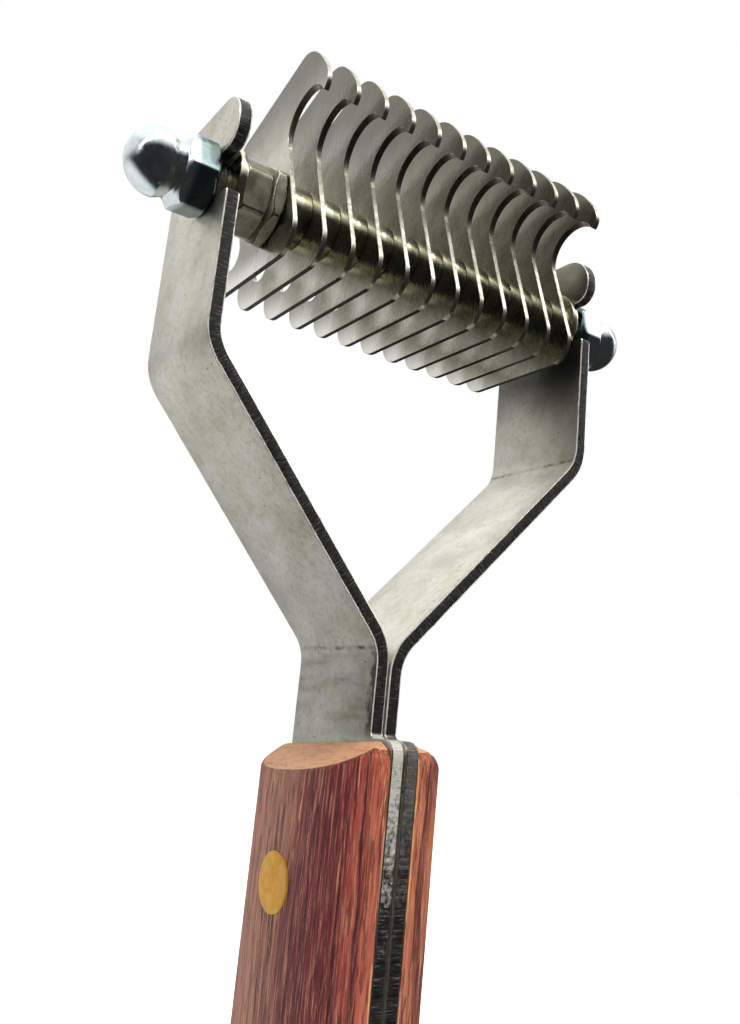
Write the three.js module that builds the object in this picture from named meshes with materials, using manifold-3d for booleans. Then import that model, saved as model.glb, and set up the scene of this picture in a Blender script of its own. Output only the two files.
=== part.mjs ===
// Deshedding rake: twelve hooked steel blades on a threaded stud, held between two bent strap arms
// whose tangs run down inside a riveted wooden handle. Millimetres, +Z up along the handle,
// X along the stud, the hook points face -Y. The origin is the centre of the bottom of the whole
// tool's bounding box, with the flat end of the handle on z = 0.

import * as THREE from 'three';
import { mergeVertices } from 'three/addons/utils/BufferGeometryUtils.js';
import Module from 'manifold-3d';

const wasm = await Module();
wasm.setup();

// ---------- driving dimensions ----------

const GAP = 0.2; // clearance left between pieces that touch on the real tool
const CUTTER = 60; // half-length of the solids that only cut or trim others
const ROUND_SIDES = 24; // sides of a small round piece
const ARC_STEPS = 7; // straight steps in each arc of an extruded outline
const DOME_STEPS = 8; // straight steps from a cap nut's widest point to its tip
const SAME_POINT = 1e-4; // corners closer than this are one corner

// handle
const HANDLE_LENGTH = 105;
const HANDLE_WIDTH = 22.1;
const HANDLE_SHIFT = -1.75; // the handle's middle sits forward of the arms' middle
const SCALE_THICKNESS = 6;
const SCALE_ROUNDNESS = 2.55; // exponent of the scale's D-shaped section: 2 is an ellipse
const SCALE_SIDES = 26;
const BEVEL_START = 2.3; // from the seam to where the bevel on the top end starts
const BEVEL_SLOPE = 0.6;
const TOP_TILT = 4.5; // degrees that the sawn top end falls towards the back
const SHOULDER_RADIUS = 2.6; // rounding of the handle's top corners, seen from the side
const BUTT_CHAMFER = 1.2;
const RIVET_RADIUS = 3.2;
const RIVET_INSET = 15.9; // from each end of the handle to a rivet's centre
const RIVET_PROUD = 0.15; // how far a rivet's ends stand above the wood

// arms
const STRAP_THICKNESS = 1.7;
const STRAP_WIDTH = 16.8;
const TANG_RISE = 0.1; // the tangs' front shoulders stand this much above the wood
const TANG_CORNER = 1.6;
const NECK_FILLET = 0.8;
const BEND_RADIUS = 5; // inside radius of every bend
const LEFT_REACH = 25.4; // seam to the inner face of each upper arm: bent by hand, so not quite alike
const RIGHT_REACH = 27.3;
const LOWER_BEND_HEIGHT = 10.3; // heights of the bends' corners above the top of the handle
const UPPER_BEND_HEIGHT = 38.9;
const RIGHT_BEND_DROP = 0.9; // the right arm's bends sit this much lower
const AXLE_HEIGHT = 59.1; // stud's centre above the top of the handle
const AXLE_SHIFT = -2.75; // stud's centre forward of the arms' middle
const ARM_END_ABOVE_AXLE = 9.6;
const ARM_FRONT_CORNER = 4.2;
const ARM_BACK_CORNER = 6;
const SLOT_WIDTH = 5.6;
const SLOT_LIP = 2.2; // radius of the arm's lobe where it turns into the slot
const LOBE_OVERHANG = 0.6; // the lobe over the slot reaches this far past the strap's front edge

// head
const BLADE_COUNT = 12;
const BLADE_PITCH = 3.9;
const BLADE_THICKNESS = 0.6;
const FIRST_BLADE = -19; // middle of blade 1, from the seam
const SPACER_RADIUS = 3.7;
const STUD_RADIUS = 2.5;
const BORE_RADIUS = STUD_RADIUS + GAP;
const NUT_FLATS = 8;
const OUTER_NUT_HEIGHT = 3.3;
const INNER_NUT_HEIGHT = 1.4;
const INNER_NUT_FLATS = 9;
const WASHER_RADIUS = 5;
const LEFT_WASHER_THICKNESS = 0.6;
const RIGHT_WASHER_THICKNESS = 0.8;
const CAP_HEX_HEIGHT = 3.8;
const CAP_HEIGHT = 9.6;
const CAP_NECK_RADIUS = 3.45;
const CAP_DOME_RADIUS = 3.85;
const CAP_NECK_HEIGHT = 4.2; // where the neck starts to widen into the dome
const CAP_FLARE_HEIGHT = 4.8; // where it reaches the dome's radius
const CAP_BORE_DEPTH = 6.4;

// ---------- materials ----------

const material = (color, roughness, metalness) =>
  new THREE.MeshStandardMaterial({ color, roughness, metalness });

const strapSteel = () => material(0xa9a69c, 0.55, 0.9);
const bladeSteel = () => material(0x9b978a, 0.4, 0.95);
const polishedSteel = () => material(0xbdb9a6, 0.18, 1);
const nutSteel = () => material(0x8f8f7e, 0.45, 0.9);
const zincPlate = () => material(0xdfe8ee, 0.12, 1);
const rosewood = () => material(0x9c4f3c, 0.6, 0);
const brass = () => material(0xcda23a, 0.4, 0.9);

// ---------- solids and booleans ----------

function toManifold(geometry) {
  const bare = geometry.index ? geometry.toNonIndexed() : geometry.clone();
  bare.deleteAttribute('normal');
  bare.deleteAttribute('uv');
  const merged = mergeVertices(bare, SAME_POINT);
  return new wasm.Manifold(new wasm.Mesh({
    numProp: 3,
    vertProperties: new Float32Array(merged.attributes.position.array),
    triVerts: new Uint32Array(merged.index.array),
  }));
}

function toGeometry(solid) {
  const mesh = solid.getMesh();
  const geometry = new THREE.BufferGeometry();
  geometry.setAttribute('position', new THREE.BufferAttribute(mesh.vertProperties, 3));
  geometry.setIndex(new THREE.BufferAttribute(mesh.triVerts, 1));
  geometry.computeVertexNormals();
  return geometry;
}

const AXIS_X = new THREE.Vector3(1, 0, 0);
const AXIS_Y = new THREE.Vector3(0, 1, 0);
const AXIS_Z = new THREE.Vector3(0, 0, 1);

// Extrudes a shape drawn in X and Y upwards along Z, from `bottom`.
function extrudeUp(shape, height, bottom) {
  const options = { depth: height, bevelEnabled: false, curveSegments: ARC_STEPS };
  return new THREE.ExtrudeGeometry(shape, options).translate(0, 0, bottom);
}

// Extrudes a side view, drawn as (y, z), along X, centred on `middle`.
function extrudeAcross(shape, width, middle) {
  const turn = new THREE.Matrix4().makeBasis(AXIS_Y, AXIS_Z, AXIS_X);
  return extrudeUp(shape, width, -width / 2).applyMatrix4(turn).translate(middle, 0, 0);
}

// Extrudes a front view, drawn as (x, z), along Y, centred on `middle`.
function extrudeDeep(shape, depth, middle) {
  const turn = new THREE.Matrix4().makeBasis(AXIS_X, AXIS_Z, AXIS_Y.clone().negate());
  return extrudeUp(shape, depth, -depth / 2).applyMatrix4(turn).translate(0, middle, 0);
}

// A round bar along X between two ends, with its axis at (y, z).
function barAlongX(radius, from, to, y, z) {
  const bar = new THREE.CylinderGeometry(radius, radius, to - from, ROUND_SIDES);
  return bar.rotateZ(-Math.PI / 2).translate((from + to) / 2, y, z);
}

// ---------- outlines ----------

function hexagon(flats) {
  const corner = flats / Math.sqrt(3);
  const shape = new THREE.Shape();
  for (let side = 0; side < 6; side += 1) {
    const angle = Math.PI / 2 + (side * Math.PI) / 3;
    const point = [corner * Math.cos(angle), corner * Math.sin(angle)];
    if (side === 0) shape.moveTo(...point);
    else shape.lineTo(...point);
  }
  shape.closePath();
  return shape;
}

function ring(outline, holeRadius) {
  const hole = new THREE.Path();
  hole.absarc(0, 0, holeRadius, 0, 2 * Math.PI, true);
  outline.holes.push(hole);
  return outline;
}

function disc(radius) {
  const shape = new THREE.Shape();
  shape.absarc(0, 0, radius, 0, 2 * Math.PI, false);
  return shape;
}

// Blade outline as (y, z) about the stud. The body leans forward; its top edge is square to its long
// edges and ends in the large forward hook, and a finger with a small upward hook runs out behind.
function bladeOutline() {
  const lean = THREE.MathUtils.degToRad(18.8);
  const along = new THREE.Vector2(Math.sin(lean), Math.cos(lean)); // up the body's long edges
  const across = new THREE.Vector2(along.y, -along.x); // back along the top edge
  const frontFacing = Math.PI - lean; // angle of the body's forward normal
  const chin = { y: -3.8, z: -4.6, radius: 3 };
  const finger = { y: 11.3, z: -4.2, radius: 3.4 };
  const fingerTip = { y: 12.8, z: -2.3, radius: 1.9 };
  const notch = { y: 8.9, z: -2.65, radius: 1.95 };
  const throat = { y: -7.1, z: 7.75, radius: 4.1 };
  const hookPoint = new THREE.Vector2(-10.35, 10.35);
  const hookNose = new THREE.Vector2(-9.3, 15);
  const hookCrown = new THREE.Vector2(-6.6, 18.4); // the curves' control points over and before the nose
  const hookFront = new THREE.Vector2(-11.9, 11.7);
  const topEdgeEnd = new THREE.Vector2(-4.4, 18);
  const heelRadius = 3;

  // The heel is the rounded corner where the body's rear edge meets the top edge.
  const rearEdge = new THREE.Vector2(
    notch.y - notch.radius * along.y, notch.z + notch.radius * along.x);
  const rearLength = topEdgeEnd.clone().sub(rearEdge).dot(along) - heelRadius;
  const heel = rearEdge.clone().addScaledVector(along, rearLength).addScaledVector(across, -heelRadius);

  const shape = new THREE.Shape();
  shape.absarc(chin.y, chin.z, chin.radius, frontFacing, 1.5 * Math.PI, false);
  shape.absarc(finger.y, finger.z, finger.radius, 1.5 * Math.PI, 2 * Math.PI, false);
  shape.absarc(fingerTip.y, fingerTip.z, fingerTip.radius, 0, Math.PI, false);
  shape.absarc(notch.y, notch.z, notch.radius, 0, -Math.PI - lean, true);
  shape.absarc(heel.x, heel.y, heelRadius, -lean, Math.PI / 2 - lean, false);
  shape.lineTo(topEdgeEnd.x, topEdgeEnd.y);
  shape.quadraticCurveTo(hookCrown.x, hookCrown.y, hookNose.x, hookNose.y);
  shape.quadraticCurveTo(hookFront.x, hookFront.y, hookPoint.x, hookPoint.y);
  shape.absarc(throat.y, throat.z, throat.radius, 0.75 * Math.PI, -lean, true);
  shape.closePath();
  return shape;
}

// Front view of the right arm's strap as (x, z): up from the tang, out along the diagonal and up again.
function strapOutline(reach, lowerBend, upperBend, top) {
  const inner = GAP / 2;
  const outer = inner + STRAP_THICKNESS;
  const farRadius = BEND_RADIUS + STRAP_THICKNESS;
  const turn = Math.atan2(reach - inner, upperBend - lowerBend);
  const tangent = (BEND_RADIUS + STRAP_THICKNESS / 2) * Math.tan(turn / 2);
  const low = { x: outer + BEND_RADIUS, z: lowerBend - tangent };
  const high = { x: reach - BEND_RADIUS, z: upperBend + tangent };

  const shape = new THREE.Shape();
  shape.moveTo(inner, 0);
  shape.lineTo(outer, 0);
  shape.absarc(low.x, low.z, BEND_RADIUS, Math.PI, Math.PI - turn, true);
  shape.absarc(high.x, high.z, farRadius, -turn, 0, false);
  shape.lineTo(reach + STRAP_THICKNESS, top);
  shape.lineTo(reach, top);
  shape.absarc(high.x, high.z, BEND_RADIUS, 0, -turn, true);
  shape.absarc(low.x, low.z, farRadius, Math.PI - turn, Math.PI, false);
  shape.closePath();
  return shape;
}

// Side view of an arm as (y, z): wide tang, narrower neck, and a rounded end with a slot open to the front.
function armSideOutline() {
  const tangFront = HANDLE_SHIFT - HANDLE_WIDTH / 2;
  const tangBack = HANDLE_SHIFT + HANDLE_WIDTH / 2;
  const shoulder = HANDLE_LENGTH + TANG_RISE;
  const front = -STRAP_WIDTH / 2;
  const back = STRAP_WIDTH / 2;
  const axle = HANDLE_LENGTH + AXLE_HEIGHT;
  const top = axle + ARM_END_ABOVE_AXLE;
  const slot = SLOT_WIDTH / 2;
  const backCorner = (tangBack - back) / 2;
  const backShoulder = shoulder - HANDLE_WIDTH * Math.tan(THREE.MathUtils.degToRad(TOP_TILT));
  const lobeFront = front - LOBE_OVERHANG;

  const shape = new THREE.Shape();
  shape.moveTo(tangFront, 0);
  shape.lineTo(tangBack, 0);
  shape.absarc(tangBack - backCorner, backShoulder - backCorner, backCorner, 0, Math.PI / 2, false);
  shape.lineTo(back, backShoulder);
  shape.absarc(back - ARM_BACK_CORNER, top - ARM_BACK_CORNER, ARM_BACK_CORNER, 0, Math.PI / 2, false);
  shape.absarc(lobeFront + ARM_FRONT_CORNER, top - ARM_FRONT_CORNER,
    ARM_FRONT_CORNER, Math.PI / 2, Math.PI, false);
  shape.absarc(lobeFront + SLOT_LIP, axle + slot + SLOT_LIP, SLOT_LIP, Math.PI, 1.5 * Math.PI, false);
  shape.absarc(AXLE_SHIFT, axle, slot, Math.PI / 2, -Math.PI / 2, true);
  shape.lineTo(front, axle - slot);
  shape.absarc(front - NECK_FILLET, shoulder + NECK_FILLET, NECK_FILLET, 0, -Math.PI / 2, true);
  shape.absarc(tangFront + TANG_CORNER, shoulder - TANG_CORNER, TANG_CORNER, Math.PI / 2, Math.PI, false);
  shape.closePath();
  return shape;
}

// Plan view of one handle scale as (x, y): flat against the tang, D-shaped outside. `grow` swells it.
function scaleOutline(grow = 0) {
  const inner = GAP / 2 + STRAP_THICKNESS + GAP;
  const deep = SCALE_THICKNESS + grow;
  const half = HANDLE_WIDTH / 2 + grow;
  const power = 2 / SCALE_ROUNDNESS;
  const shape = new THREE.Shape();
  for (let side = 0; side <= SCALE_SIDES; side += 1) {
    const angle = Math.PI * (side / SCALE_SIDES - 0.5);
    const x = inner + deep * Math.cos(angle) ** power;
    const y = HANDLE_SHIFT + half * Math.sign(Math.sin(angle)) * Math.abs(Math.sin(angle)) ** power;
    if (side === 0) shape.moveTo(x, y);
    else shape.lineTo(x, y);
  }
  shape.closePath();
  return shape;
}

// Front view of one scale's bevelled top end as (x, z) from the seam and the handle's top.
function scaleTopOutline() {
  const outside = BEVEL_START + 2 * SCALE_THICKNESS;
  const shape = new THREE.Shape();
  shape.moveTo(0, -2 * HANDLE_LENGTH);
  shape.lineTo(outside, -2 * HANDLE_LENGTH);
  shape.lineTo(outside, -BEVEL_SLOPE * (outside - BEVEL_START));
  shape.lineTo(BEVEL_START, 0);
  shape.lineTo(0, 0);
  shape.closePath();
  return shape;
}

// Front view of one scale's butt end as (x, z), with a small chamfer outside, reaching far above.
function scaleButtOutline() {
  const surface = 1.5 * GAP + STRAP_THICKNESS + SCALE_THICKNESS;
  const outside = surface + SCALE_THICKNESS;
  const shape = new THREE.Shape();
  shape.moveTo(0, 0);
  shape.lineTo(surface - BUTT_CHAMFER, 0);
  shape.lineTo(outside, SCALE_THICKNESS + BUTT_CHAMFER);
  shape.lineTo(outside, 2 * HANDLE_LENGTH);
  shape.lineTo(0, 2 * HANDLE_LENGTH);
  shape.closePath();
  return shape;
}

// Side view of the handle as (y, z), with its top corners rounded.
function handleSideOutline() {
  const front = HANDLE_SHIFT - HANDLE_WIDTH;
  const back = HANDLE_SHIFT + HANDLE_WIDTH;
  const half = HANDLE_WIDTH / 2;
  const corner = HANDLE_LENGTH - SHOULDER_RADIUS;
  const shape = new THREE.Shape();
  shape.moveTo(front, 0);
  shape.lineTo(back, 0);
  shape.lineTo(back, corner - SHOULDER_RADIUS);
  shape.lineTo(HANDLE_SHIFT + half, corner);
  shape.absarc(HANDLE_SHIFT + half - SHOULDER_RADIUS, corner, SHOULDER_RADIUS, 0, Math.PI / 2, false);
  shape.absarc(HANDLE_SHIFT - half + SHOULDER_RADIUS, corner, SHOULDER_RADIUS, Math.PI / 2, Math.PI, false);
  shape.lineTo(front, corner - SHOULDER_RADIUS);
  shape.closePath();
  return shape;
}

// ---------- pieces ----------

const rivetHeights = [RIVET_INSET, HANDLE_LENGTH - RIVET_INSET];
const mirrored = (geometry) => toManifold(geometry).mirror([1, 0, 0]);
const sided = (geometry, side) => (side < 0 ? mirrored(geometry) : toManifold(geometry));

function cutRivetHoles(solid) {
  return rivetHeights.reduce((cut, height) => cut.subtract(toManifold(
    barAlongX(RIVET_RADIUS + GAP, -CUTTER, CUTTER, HANDLE_SHIFT, height))), solid);
}

// side is -1 for the left arm and 1 for the right.
function makeArm(side) {
  const reach = side < 0 ? LEFT_REACH : RIGHT_REACH;
  const drop = side < 0 ? 0 : RIGHT_BEND_DROP;
  const top = HANDLE_LENGTH + AXLE_HEIGHT + 2 * ARM_END_ABOVE_AXLE; // the side view trims this end
  const lowerBend = HANDLE_LENGTH + LOWER_BEND_HEIGHT - drop;
  const upperBend = HANDLE_LENGTH + UPPER_BEND_HEIGHT - drop;
  const strap = extrudeDeep(strapOutline(reach, lowerBend, upperBend, top), 2 * HANDLE_WIDTH, 0);
  const sideView = extrudeAcross(armSideOutline(), 2 * CUTTER, 0);
  return cutRivetHoles(sided(strap, side).intersect(toManifold(sideView)));
}

function makeScale(side) {
  const front = HANDLE_SHIFT - HANDLE_WIDTH / 2;
  const body = extrudeUp(scaleOutline(), HANDLE_LENGTH, 0);
  const top = extrudeDeep(scaleTopOutline(), 4 * HANDLE_WIDTH, 0)
    .rotateX(-THREE.MathUtils.degToRad(TOP_TILT))
    .translate(0, front, HANDLE_LENGTH);
  const butt = extrudeDeep(scaleButtOutline(), 2 * HANDLE_WIDTH, HANDLE_SHIFT);
  const sideView = toManifold(extrudeAcross(handleSideOutline(), 2 * CUTTER, 0));
  const blank = sided(body, side).intersect(sided(top, side)).intersect(sided(butt, side));
  return cutRivetHoles(blank.intersect(sideView));
}

// A rivet runs right through the handle and its ends follow the wood's curve, slightly proud of it.
function makeRivet(height) {
  const bar = toManifold(barAlongX(RIVET_RADIUS, -CUTTER, CUTTER, HANDLE_SHIFT, height));
  const right = extrudeUp(scaleOutline(RIVET_PROUD), HANDLE_LENGTH, 0);
  const core = new THREE.BoxGeometry(2 * STRAP_THICKNESS + 4 * GAP, HANDLE_WIDTH, HANDLE_LENGTH)
    .translate(0, HANDLE_SHIFT, HANDLE_LENGTH / 2);
  return bar.intersect(toManifold(right).add(mirrored(right)).add(toManifold(core)));
}

// Pieces of the head are drawn about the stud and moved to it by the head's group.
function makeDisc(radius, from, to) {
  return toManifold(extrudeAcross(ring(disc(radius), BORE_RADIUS), to - from, (from + to) / 2));
}

function makeNut(flats, from, to) {
  return toManifold(extrudeAcross(ring(hexagon(flats), BORE_RADIUS), to - from, (from + to) / 2));
}

// Cap nut along +X from its seat at x = 0: hexagon, neck and dome over a blind bore.
function makeCapNut() {
  const dome = CAP_HEIGHT - CAP_DOME_RADIUS;
  const root = CAP_HEX_HEIGHT / 2; // the round part starts inside the hexagon
  const profile = [
    new THREE.Vector2(0, root),
    new THREE.Vector2(CAP_NECK_RADIUS, root),
    new THREE.Vector2(CAP_NECK_RADIUS, CAP_NECK_HEIGHT),
    new THREE.Vector2(CAP_DOME_RADIUS, CAP_FLARE_HEIGHT),
  ];
  for (let step = 0; step <= DOME_STEPS; step += 1) {
    const angle = (Math.PI / 2) * (step / DOME_STEPS);
    const radius = step === DOME_STEPS ? 0 : CAP_DOME_RADIUS * Math.cos(angle);
    profile.push(new THREE.Vector2(radius, dome + CAP_DOME_RADIUS * Math.sin(angle)));
  }
  const round = new THREE.LatheGeometry(profile, ROUND_SIDES).rotateZ(-Math.PI / 2);
  const hex = extrudeAcross(hexagon(NUT_FLATS), CAP_HEX_HEIGHT, CAP_HEX_HEIGHT / 2);
  const bore = barAlongX(BORE_RADIUS, -CAP_BORE_DEPTH, CAP_BORE_DEPTH, 0, 0);
  return toManifold(hex).add(toManifold(round)).subtract(toManifold(bore));
}

function makeBlade() {
  return toManifold(extrudeAcross(ring(bladeOutline(), BORE_RADIUS), BLADE_THICKNESS, 0));
}

// ---------- assembly ----------

function addPiece(group, name, solid, finish, x = 0) {
  const mesh = new THREE.Mesh(toGeometry(solid), finish);
  mesh.name = name;
  mesh.position.x = x;
  group.add(mesh);
}

function buildHandleAndArms() {
  const group = new THREE.Group();
  addPiece(group, 'left_arm', makeArm(-1), strapSteel());
  addPiece(group, 'right_arm', makeArm(1), strapSteel());
  addPiece(group, 'left_handle_scale', makeScale(-1), rosewood());
  addPiece(group, 'right_handle_scale', makeScale(1), rosewood());
  addPiece(group, 'lower_rivet', makeRivet(rivetHeights[0]), brass());
  addPiece(group, 'upper_rivet', makeRivet(rivetHeights[1]), brass());
  return group;
}

function buildHead() {
  const group = new THREE.Group();
  group.position.set(0, AXLE_SHIFT, HANDLE_LENGTH + AXLE_HEIGHT);

  // blades, with a spacer between each two
  const spacerLength = BLADE_PITCH - BLADE_THICKNESS - 2 * GAP;
  for (let index = 0; index < BLADE_COUNT; index += 1) {
    const number = String(index + 1).padStart(2, '0');
    const x = FIRST_BLADE + index * BLADE_PITCH;
    addPiece(group, `blade_${number}`, makeBlade(), bladeSteel(), x);
    if (index < BLADE_COUNT - 1) {
      const spacer = makeDisc(SPACER_RADIUS, -spacerLength / 2, spacerLength / 2);
      addPiece(group, `spacer_${number}`, spacer, polishedSteel(), x + BLADE_PITCH / 2);
    }
  }

  // left of the blades: inner lock nut, outer lock nut and washer
  let edge = FIRST_BLADE - BLADE_THICKNESS / 2 - GAP;
  const innerNut = makeNut(INNER_NUT_FLATS, edge - INNER_NUT_HEIGHT, edge);
  addPiece(group, 'inner_lock_nut', innerNut, nutSteel());
  edge -= INNER_NUT_HEIGHT + GAP;
  const outerNut = makeNut(NUT_FLATS, edge - OUTER_NUT_HEIGHT, edge);
  addPiece(group, 'outer_lock_nut', outerNut, nutSteel());
  const leftWasherEnd = GAP - LEFT_REACH;
  const leftWasher = makeDisc(WASHER_RADIUS, leftWasherEnd, leftWasherEnd + LEFT_WASHER_THICKNESS);
  addPiece(group, 'left_washer', leftWasher, polishedSteel());

  // right of the blades: end spacer and washer
  const lastFace = FIRST_BLADE + (BLADE_COUNT - 1) * BLADE_PITCH + BLADE_THICKNESS / 2;
  const rightWasherEnd = RIGHT_REACH - GAP;
  const rightWasherStart = rightWasherEnd - RIGHT_WASHER_THICKNESS;
  addPiece(group, 'end_spacer', makeDisc(SPACER_RADIUS, lastFace + GAP, rightWasherStart - GAP),
    polishedSteel());
  addPiece(group, 'right_washer', makeDisc(WASHER_RADIUS, rightWasherStart, rightWasherEnd),
    polishedSteel());

  // the stud and the cap nuts on its ends
  const seat = STRAP_THICKNESS + GAP;
  const studReach = seat + CAP_BORE_DEPTH - GAP;
  const stud = barAlongX(STUD_RADIUS, -LEFT_REACH - studReach, RIGHT_REACH + studReach, 0, 0);
  addPiece(group, 'axle_stud', toManifold(stud), nutSteel());
  addPiece(group, 'left_cap_nut', makeCapNut().mirror([1, 0, 0]), zincPlate(), -LEFT_REACH - seat);
  addPiece(group, 'right_cap_nut', makeCapNut(), zincPlate(), RIGHT_REACH + seat);
  return group;
}

const tool = new THREE.Group();
tool.add(buildHandleAndArms(), buildHead());
tool.updateMatrixWorld(true);
const middle = new THREE.Box3().setFromObject(tool, true).getCenter(new THREE.Vector3());
tool.position.set(-middle.x, -middle.y, 0);

export default tool;
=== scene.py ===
"""Looks of the deshedding rake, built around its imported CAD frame.

Metres, +Z up along the handle, X along the stud, hook points towards -Y. Sizes are read from the
frame, or are given in millimetres times MM.
"""

import math

import bmesh
import bpy
from mathutils import Matrix, Vector, noise


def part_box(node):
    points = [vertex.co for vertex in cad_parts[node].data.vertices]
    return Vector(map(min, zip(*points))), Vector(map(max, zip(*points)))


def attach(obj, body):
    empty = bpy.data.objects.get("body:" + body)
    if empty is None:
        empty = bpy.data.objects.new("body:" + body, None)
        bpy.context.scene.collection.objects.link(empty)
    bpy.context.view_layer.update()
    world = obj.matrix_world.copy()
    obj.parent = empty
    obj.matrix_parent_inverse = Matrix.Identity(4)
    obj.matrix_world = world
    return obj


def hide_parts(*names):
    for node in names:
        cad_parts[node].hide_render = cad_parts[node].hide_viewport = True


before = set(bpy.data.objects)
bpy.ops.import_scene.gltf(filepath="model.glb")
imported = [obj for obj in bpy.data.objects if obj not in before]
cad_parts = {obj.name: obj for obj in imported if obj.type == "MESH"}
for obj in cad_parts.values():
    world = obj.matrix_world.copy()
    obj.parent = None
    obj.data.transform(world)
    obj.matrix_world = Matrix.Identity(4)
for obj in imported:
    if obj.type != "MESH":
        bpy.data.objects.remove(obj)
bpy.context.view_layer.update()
scene = bpy.context.scene

# ---------- sizes ----------

MM = 0.001
GAP = 0.2 * MM  # clearance that the CAD leaves between pieces that touch
SEAT = 0.02 * MM  # clearance left here between pieces that touch
SAME_POINT = 0.01 * MM  # corners of an outline closer than this are one corner
POLE = 0.05 * MM  # radius of the last row at the closed end of a turned solid

stud_low, stud_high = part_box("axle_stud")
AXLE_Y = (stud_low.y + stud_high.y) / 2
AXLE_Z = (stud_low.z + stud_high.z) / 2

# handle
scale_low, scale_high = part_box("left_handle_scale")
HANDLE_FRONT = scale_low.y
HANDLE_BACK = scale_high.y
HANDLE_Y = (HANDLE_FRONT + HANDLE_BACK) / 2
HANDLE_WIDTH = HANDLE_BACK - HANDLE_FRONT
SCALE_THICKNESS = scale_high.x - scale_low.x
HANDLE_TOP = AXLE_Z - 59.1 * MM
SCALE_ROUNDNESS = 2.55  # exponent of the scale's D-shaped section: 2 is an ellipse
TOP_TILT = math.radians(4.5)  # the sawn top end falls this much towards the back
BEVEL_START = 2.3 * MM  # from the seam to where the bevel on the top end starts
BEVEL_SLOPE = 0.6
SHOULDER_RADIUS = 2.6 * MM  # rounding of the handle's top corners, seen from the side
BUTT_CHAMFER = 1.2 * MM
END_ROUNDING = 0.3 * MM  # between a scale's ends and its sides
RIVET_PROUD = 0.15 * MM

# arms
SEAM_X = (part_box("left_arm")[1].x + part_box("right_arm")[0].x) / 2
LEFT_REACH = SEAM_X - (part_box("left_washer")[0].x - GAP)
RIGHT_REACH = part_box("right_washer")[1].x + GAP - SEAM_X
STRAP_THICKNESS = SEAM_X - LEFT_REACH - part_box("left_arm")[0].x
TANG_SIDE = GAP / 2 + STRAP_THICKNESS  # from the seam to a tang's outer face
SCALE_INNER = TANG_SIDE + GAP  # from the seam to the CAD scale's flat inner face
STRAP_WIDTH = 16.8 * MM
ARM_Y = AXLE_Y + 2.75 * MM
ARM_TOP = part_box("left_arm")[1].z
TANG_RISE = 0.1 * MM
TANG_CORNER = 1.6 * MM
NECK_FILLET = 0.8 * MM
BEND_RADIUS = 5 * MM
LOWER_BEND = HANDLE_TOP + 10.3 * MM
UPPER_BEND = HANDLE_TOP + 38.9 * MM
RIGHT_BEND_DROP = 0.9 * MM
ARM_FRONT_CORNER = 4.2 * MM
ARM_BACK_CORNER = 6 * MM
SLOT_WIDTH = 5.6 * MM
SLOT_LIP = 2.2 * MM
SLOT_CORNER = 0.5 * MM
LOBE_OVERHANG = 0.6 * MM
ARM_EDGE = 0.2 * MM  # rounding of the strap's corners
SHEAR_RIPPLE = 0.035 * MM  # how far the sheared edges wander
CUT_SPACING = 0.7 * MM  # rows of vertices along a strap

# head
BORE_RADIUS = 2.7 * MM
SNUG_BORE = BORE_RADIUS - GAP + SEAT  # bore of a nut, washer or spacer, drawn to sit on the stud
NUT_FLATS = 8 * MM
CORNER_WEAR = 0.14 * MM  # how much is worn off a hexagon's corners
THREAD_PITCH = 0.8 * MM
THREAD_DEPTH = 0.45 * MM
THREADED_LENGTH = 13 * MM  # thread drawn from each end of the stud
CAP_HEX_HEIGHT = 3.8 * MM
CAP_RIM = 0.94  # share of the cap nut's flats at which its chamfers start
CAP_BORE_DEPTH = 5.8 * MM
CAP_BORE_TAPER = 0.2 * MM
CAP_NECK_RADIUS = 3.45 * MM
CAP_DOME_RADIUS = 3.85 * MM
BLADE_EDGE = 0.05 * MM  # rounding of the blade's thin edges
GRIND_WIDTH = 0.5 * MM  # width of the ground bevel inside the hook

FLOOR_RADIUS = 3.0

# camera: the photograph's viewing angle, placed from the middle of the stud
LOOK_AZIMUTH = math.radians(33.1353)
LOOK_ELEVATION = math.radians(12.7935)
LOOK_ROLL = math.radians(5.6657)
STUD_AHEAD = 121.77 * MM
STUD_TO_RIGHT = 4.72 * MM
STUD_ABOVE = 31.07 * MM
LENS = 33.21
LENS_DROP = -0.0033


# ---------- mesh helpers ----------


def arc(centre, radius, start, end, step=6):
    """Points of an arc between two angles in degrees, both ends included."""
    count = max(2, math.ceil(abs(end - start) / step))
    angles = [math.radians(start + (end - start) * i / count) for i in range(count + 1)]
    return [(centre[0] + radius * math.cos(a), centre[1] + radius * math.sin(a)) for a in angles]


def curve(start, control, end, count=8):
    """Points of a quadratic curve from start to end."""
    points = []
    for i in range(count + 1):
        t = i / count
        pulls = [((1 - t) ** 2, start), (2 * t * (1 - t), control), (t * t, end)]
        points.append(tuple(sum(pull * point[k] for pull, point in pulls) for k in (0, 1)))
    return points


def without_repeats(points):
    """The closed outline without points that fall on the one before them."""
    kept = []
    for point in points:
        if not kept or math.dist(point[:2], kept[-1][:2]) > SAME_POINT:
            kept.append(point)
    if math.dist(kept[0][:2], kept[-1][:2]) <= SAME_POINT:
        kept.pop()
    return kept


def skin(bm, rings, closed=False):
    """Joins rings of equally many points with quads; closed also joins the last ring to the first."""
    loops = [[bm.verts.new(point) for point in ring] for ring in rings]
    pairs = list(zip(loops, loops[1:]))
    if closed:
        pairs.append((loops[-1], loops[0]))
    for one, two in pairs:
        for i in range(len(one)):
            j = (i + 1) % len(one)
            bm.faces.new((one[i], one[j], two[j], two[i]))
    return loops


def close_ends(bm, loops):
    """Puts a face on the first loop of a skin and one on its last."""
    bm.faces.new(loops[0])
    bm.faces.new(list(reversed(loops[-1])))


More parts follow.
